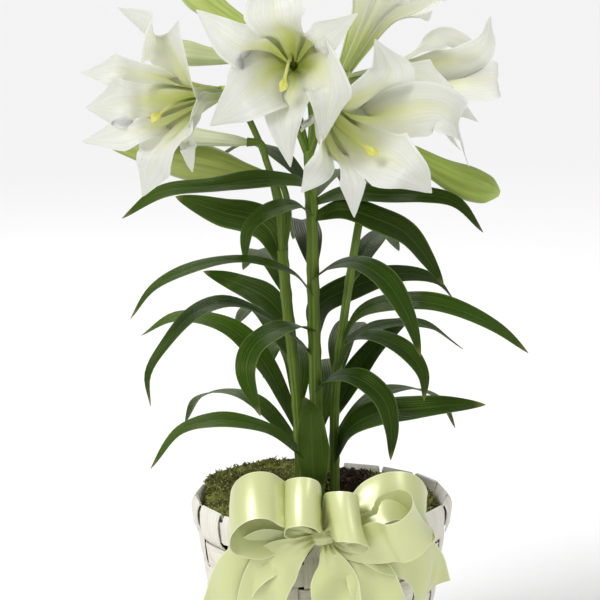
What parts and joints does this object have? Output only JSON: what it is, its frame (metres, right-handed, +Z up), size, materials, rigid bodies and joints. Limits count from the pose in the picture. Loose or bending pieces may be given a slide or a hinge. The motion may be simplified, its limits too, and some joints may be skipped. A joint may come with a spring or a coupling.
{
  "type": "potted easter lily",
  "caption": "Potted Easter lily with white trumpet blooms, buds and arching leaves, dressed with moss in a woven chipwood basket with a ribbon bow",
  "frame": {"origin": "centre of the basket's flat underside", "axes": "+Z up along the basket's axis, -Y towards the side with the bow, +X to the right seen from the front"},
  "size_m": [0.2912, 0.2447, 0.536],
  "materials": {
    "chipwood": "whitewashed, matte",
    "pot_plastic": "matte",
    "earth": "crumbly, matte",
    "moss": "rough",
    "bulb_scale": "satin",
    "leaf_green": "satin",
    "tepal_white": "satin",
    "pistil_yellow": "satin",
    "bud_green": "satin",
    "ribbon_satin": "satin",
    "wire": "satin"
  },
  "bodies": {
    "root": {"basket_base": "chipwood", "stave_01": "chipwood", "stave_02": "chipwood", "stave_03": "chipwood", "stave_04": "chipwood", "stave_05": "chipwood", "stave_06": "chipwood", "stave_07": "chipwood", "stave_08": "chipwood", "stave_09": "chipwood", "stave_10": "chipwood", "stave_11": "chipwood", "stave_12": "chipwood", "stave_13": "chipwood", "stave_14": "chipwood", "stave_15": "chipwood", "stave_16": "chipwood", "stave_17": "chipwood", "stave_18": "chipwood", "weaver_1": "chipwood", "weaver_2": "chipwood", "weaver_3": "chipwood", "weaver_4": "chipwood", "weaver_5": "chipwood", "weaver_6": "chipwood", "weaver_7": "chipwood", "rim_hoop": "chipwood", "grower_pot": "pot_plastic", "soil": "earth", "bulb": "bulb_scale", "moss": "moss", "leafy_stem_left": "leaf_green", "leafy_stem_middle": "leaf_green", "leafy_stem_right": "leaf_green", "bloom_1": "tepal_white", "pistil_1": "pistil_yellow", "bloom_2": "tepal_white", "pistil_2": "pistil_yellow", "bloom_3": "tepal_white", "pistil_3": "pistil_yellow", "bloom_4": "tepal_white", "pistil_4": "pistil_yellow", "bloom_5": "tepal_white", "pistil_5": "pistil_yellow", "bud_large": "bud_green", "bud_pale": "bud_green", "bud_small": "bud_green", "bud_top": "bud_green", "bud_right": "bud_green", "ribbon_bow": "ribbon_satin", "bow_wire": "wire"}
  },
  "joints": []
}
